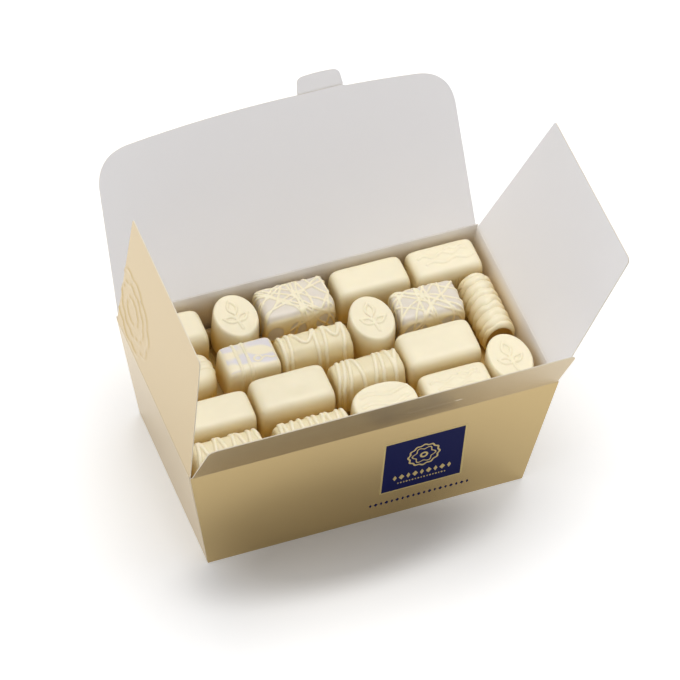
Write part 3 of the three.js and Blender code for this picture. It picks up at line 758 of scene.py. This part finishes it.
def lace(count, size, seed):
    """Threads flung over a praline: shallow arcs through random places on its crown, in three main
    directions, long enough to run off it all round."""
    random = np.random.default_rng(seed)
    s = np.linspace(-42, 42, 40)
    paths = []
    for k in range(count):
        angle = np.radians((38, 140, 88)[k % 3] + random.uniform(-16, 16))
        p0, q0 = random.uniform(-0.48, 0.48) * size[0], random.uniform(-0.4, 0.4) * size[1]
        bend = random.uniform(-0.012, 0.012) * s ** 2 + 0.8 * np.sin(s / random.uniform(3, 6))
        paths.append(np.stack([p0 + s * np.cos(angle) - bend * np.sin(angle),
                               q0 + s * np.sin(angle) + bend * np.cos(angle)], 1))
    return paths


WINDOWS = {"praline_r1_laced_block": ((-13.8, 4.0), (-1.7, 4.2), (13.0, 5.2)),
           "praline_r2_laced_block": ((-9.8, 6.4), (8.5, 6.0))}
WINDOW_DROP, FIELD_SHARE = 8.5, 0.9
for number, (name, windows) in enumerate(WINDOWS.items()):
    place, size = seat(name, coat=LACE_HEIGHT + 0.15)
    grid, p, q = loaf(size, 8.0, 12.0, step=0.3)
    threads = beads(p, q, lace(17, size, 3 + number), LACE_WIDTH, LACE_HEIGHT)
    edge = size[1] / 2
    clear = np.min([np.hypot(p - at, q + edge + WINDOW_DROP) - radius for at, radius in windows], axis=0)
    drips = np.clip(clear / 0.8, 0, 1) * np.clip((-q - edge + 1) / 2, 0, 1)
    coat = np.maximum(threads, drips * LACE_HEIGHT * 0.8)
    field = 1 - np.clip(coat / (LACE_HEIGHT * 0.55), 0, 1)
    relief = coat + lumps(p, q, 9, 0.3, number)
    set_down(name, grid, place, laced, relief, field * FIELD_SHARE)

# The striped block: white chocolate with a violet-white panel on its crown, crossed by two raised
# stripes, and a small raised scroll at its right.
STRIPE_WIDTH, STRIPE_HEIGHT = 1.7, 0.45
place, size = seat("praline_r2_striped_block", coat=STRIPE_HEIGHT)
grid, p, q = loaf(size, 8.0, 10.0, step=0.35)
reach = size[1] * 1.2
stripes = [line((-6.6, reach), (-6.2, 0), (-6.9, -reach)), line((-1.6, reach), (-1.4, 0), (-2.0, -reach))]
turns = np.linspace(0, 2 * np.pi, 24)
loop = np.stack([3.2 + 1.9 * np.cos(turns), -3.6 + 1.7 * np.sin(turns)], 1)
scroll = [loop, wave(5.2, 11.5, -4.2, 0.7, 0.9)]
raised = beads(p, q, stripes, STRIPE_WIDTH, STRIPE_HEIGHT) + beads(p, q, scroll, 1.1, 0.35)
clear_of_sides = np.clip((size[1] / 2 - 1.6 - np.abs(q)) / 0.5, 0, 1)
clear_of_ends = np.clip((size[0] / 2 - 1.4 - np.abs(p)) / 0.5, 0, 1)
patches = np.clip(lumps(p, q, 11, 2.6, 8) + 0.62, 0, 1)
field = clear_of_sides * clear_of_ends * patches * (1 - np.clip(raised / 0.2, 0, 1))
striped = chocolate("white_chocolate_with_violet_white_panel", IVORY, IVORY_PAINTED_SHADE, LILAC, 0.36)
set_down("praline_r2_striped_block", grid, place, striped, raised,
         field * FIELD_SHARE)

# The drizzled barrels: soft-centred pralines coated in white chocolate, with thick threads trailed
# across them from rear to front while the coating was wet, so that they sink in and run together.
THREAD_WIDTH, THREAD_HEIGHT = 2.1, 0.85
# The second colour is painted shade, which the drizzled chocolate and the roll take on low down.
DRIZZLE, DRIZZLE_PAINTED_SHADE, THREAD = "#E6DAB6", "#EACB7C", "#F0E6C9"
drizzled = chocolate("drizzled_white_chocolate", DRIZZLE, DRIZZLE_PAINTED_SHADE, THREAD)


def trail(rear, front, bend, width, reach=26.0):
    """A thread over a praline: at rear on its rear edge and at front on its front edge, bowed by bend
    between them, and hanging straight down both sides."""
    q = np.linspace(reach, -reach, 44)
    share = np.clip(q / (width / 2), -1, 1)
    return np.stack([(rear + front) / 2 + (rear - front) / 2 * share + bend * (1 - share ** 2), q], 1)


def garland(left, right, rear, depth):
    """A thread that swings forward from the rear edge and back to it, like a garland."""
    t = np.linspace(0, 1, 24)
    return np.stack([left + (right - left) * t, rear - depth * np.sin(np.pi * t) ** 0.8], 1)


def zigzag(count, length, lean, seed):
    """Threads trailed to and fro along a praline: the places and leans of a steady hand."""
    random = np.random.default_rng(seed)
    places = np.linspace(-0.44, 0.44, count) * length
    return [(x + lean / 2 * (-1) ** k + random.uniform(-0.8, 0.8),
             x - lean / 2 * (-1) ** k + random.uniform(-0.8, 0.8),
             random.uniform(-0.8, 0.8)) for k, x in enumerate(places)]


TRAILS = {
    "praline_r2_drizzled_barrel": [(-16.5, -17.0, 0.3), (-12.6, -14.2, 0.6), (2.0, -0.1, -0.5),
                                   (5.7, 3.6, 0.6), (16.2, 13.0, 0.5)],
    "praline_r3_drizzled_barrel": [(-13.3, -17.5, 0.4), (-10.2, -14.9, 0.5), (-8.1, -11.2, 0.3),
                                   (-7.1, -3.9, 0.8), (6.0, 1.8, 0.2), (7.6, 6.0, 0.5),
                                   (10.2, 12.3, 0.9), (17.2, 12.3, -0.6)],
    "praline_r4_drizzled_log": zigzag(8, 36, 3.0, 4),
    "praline_r4_drizzled_barrel": zigzag(10, 38, 1.6, 5),
}
for number, (name, trails) in enumerate(TRAILS.items()):
    place, size = seat(name, coat=THREAD_HEIGHT)
    grid, p, q = loaf(size, 3.2, 12.0, step=0.33)
    paths = [trail(*ends, width=size[1]) for ends in trails]
    if name == "praline_r2_drizzled_barrel":
        paths += [garland(-10.5, 1.5, 10, 11.3), garland(6.5, 15.0, 10, 11.5)]
    threads = beads(p, q, paths, THREAD_WIDTH, THREAD_HEIGHT)
    field = np.clip(threads / THREAD_HEIGHT, 0, 1) * np.clip(grid[..., 2] / size[2] * 1.4 - 0.4, 0, 1)
    relief = threads + lumps(p, q, 8, 0.22, 20 + number)
    set_down(name, grid, place, drizzled, relief, field)

# The roll: a thin arched sheet of white chocolate wound with wide soft ridges. Its front end is open
# and shows the brown filling, set back inside a paler rim.
RIDGE_PITCH, RIDGE_HEIGHT = 4.6, 1.0
RIM, FILLING_DEPTH = 0.84, 4.5
FILLING = "#D2AA5A"
rolled = chocolate("wound_white_chocolate_over_filling", IVORY, DRIZZLE_PAINTED_SHADE, FILLING)
place, size = seat("praline_r2_twisted_roll", coat=RIDGE_HEIGHT, turned=True)
size = size - np.array([0, 0.5, 0.3])
half, high = size[0] / 2, size[2]
rear = super_arc(14.0, np.pi / 2, 0, half, high)
front = rounded([(-half + FILLING_DEPTH, 0), (-half + FILLING_DEPTH, RIM - 0.06), (-half + 0.4, RIM),
                 (-half, RIM + 0.04), (-half, 0.93), (-half + 0.8, 0.985), (-half + 3, 1), (0, 1)], 3)
front = front * [1, high]
ends = (np.concatenate([front[:, 0], rear[0]]), np.concatenate([front[:, 1], rear[1]]))
grid, p, q = loaf(size, 2.0, 20.0, draft=0, tuck=50, step=0.33, ends=ends)
share = grid[..., 2].max(1, keepdims=True) / high
front_third = np.arange(len(grid))[:, None] < len(grid) / 3
inside = np.broadcast_to(front_third & (share < RIM + 0.02), q.shape)
phase = (grid[..., 0] + 0.9 * np.sin(q / 6) + lumps(grid[..., 0], q, 10, 1.6, 5)) / RIDGE_PITCH
low_at_ends = np.clip((half - np.abs(grid[..., 0])) / 2, 0.2, 1)
ridges = RIDGE_HEIGHT * np.abs(np.cos(np.pi * phase)) ** 0.8 * low_at_ends
relief = np.where(inside, 0, ridges + lumps(p, q, 7, 0.2, 6) - 0.15)
set_down("praline_r2_twisted_roll", grid, place, rolled, relief, inside * 1.0,
         turn=90)

# The layers underneath: more of the same pralines, packed shoulder to shoulder. Only their crowns
# show, deep in the gaps, so they are one surface of rounded blocks down to the tray's floor. They are
# coloured a dull ochre, darker than the pralines above: painted shade for the depth of the gaps.
LOWER_TOP, LOWER_DIP = 52.3, 9.0
# A dull ochre: painted shade for the pralines deep in the gaps.
LOWER_PAINTED_SHADE = "#BC9A55"
BLOCK_LENGTH, BLOCK_WIDTH = 37.0, 22.0
END_CLEARANCE, SIDE_CLEARANCE, FOOT_SHARE = 0.8, 1.2, 0.9
low, high = (np.array(corner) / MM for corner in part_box("lower_layers"))
s, t = np.meshgrid(np.linspace(-1, 1, 200), np.linspace(-1, 1, 120), indexing="ij")
x, y = s * ((high - low)[0] / 2 - END_CLEARANCE), t * ((high - low)[1] / 2 - SIDE_CLEARANCE)
row = np.floor(y / BLOCK_WIDTH)
u = np.mod(x / BLOCK_LENGTH + 0.37 * row, 1) * 2 - 1
v = np.mod(y / BLOCK_WIDTH, 1) * 2 - 1
crown = np.clip(1 - np.abs(u) ** 8 - np.abs(v) ** 5, 0, 1) ** 0.5
edge = np.maximum(np.abs(s), np.abs(t)) == 1
foot = np.where(edge, FOOT_SHARE, 1)
grid = np.stack([x * foot, y * foot, np.where(edge, low[2], LOWER_TOP - LOWER_DIP * (1 - crown))], 2)
shaded = chocolate("white_chocolate_in_painted_shade_deep_in_the_box", IVORY, LOWER_PAINTED_SHADE, LOWER_PAINTED_SHADE)
lower = add_piece("lower_pralines", grid.reshape(-1, 3) * MM, quads(*grid.shape[:2]), [shaded],
                  masks={"field": np.zeros(grid.shape[:2])}, merge=0)
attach(lower, "box")
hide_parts("lower_layers")
